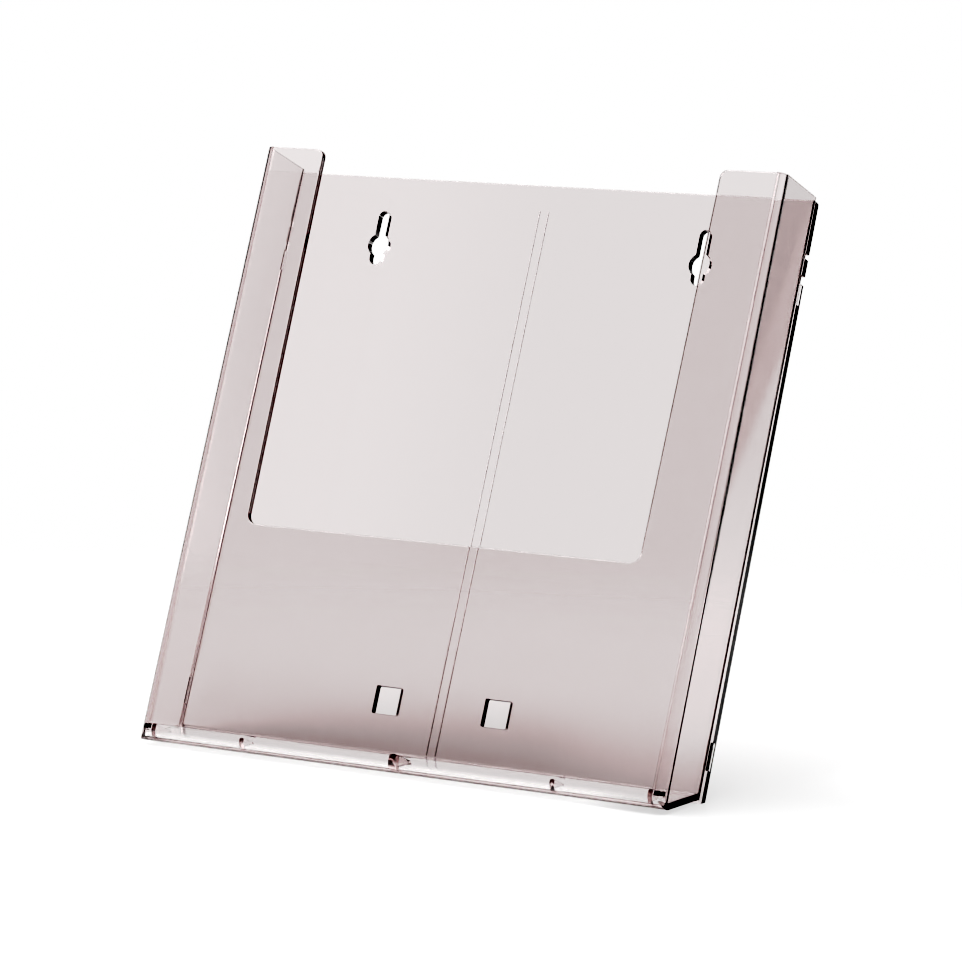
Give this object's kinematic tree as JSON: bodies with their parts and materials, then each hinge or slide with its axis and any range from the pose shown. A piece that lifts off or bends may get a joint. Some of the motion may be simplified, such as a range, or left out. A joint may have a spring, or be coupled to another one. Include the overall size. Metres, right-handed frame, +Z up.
{
  "type": "leaflet pocket",
  "caption": "Shallow clear smoke-tinted wall pocket for portrait leaflets, with an open U-shaped front, keyholes in the back and a sloped floor.",
  "frame": {"origin": "under the middle of the outer box, level with the lowest edge of the rounded front-bottom nose", "axes": "+Z up as it hangs on a wall, the open front faces -Y and the wall face is +Y, +X is the viewer's right"},
  "size_m": [0.2328, 0.032, 0.2428],
  "materials": {
    "smoke_back": "clear smoke-tinted rigid plastic, polished",
    "smoke_front": "clear smoke-tinted rigid plastic, polished",
    "smoke_wall": "clear smoke-tinted rigid plastic, polished",
    "smoke_floor": "clear smoke-tinted rigid plastic, polished edge",
    "smoke_rail": "clear smoke-tinted rigid plastic"
  },
  "bodies": {
    "root": {"back_panel": "smoke_back", "front_panel": "smoke_front", "left_side_wall": "smoke_wall", "right_side_wall": "smoke_wall", "floor_panel": "smoke_floor", "divider_rail_left": "smoke_rail", "divider_rail_right": "smoke_rail", "divider_key": "smoke_rail", "floor_hump_left": "smoke_rail", "floor_hump_right": "smoke_rail", "corner_block_left": "smoke_rail", "corner_block_right": "smoke_rail"}
  },
  "joints": []
}
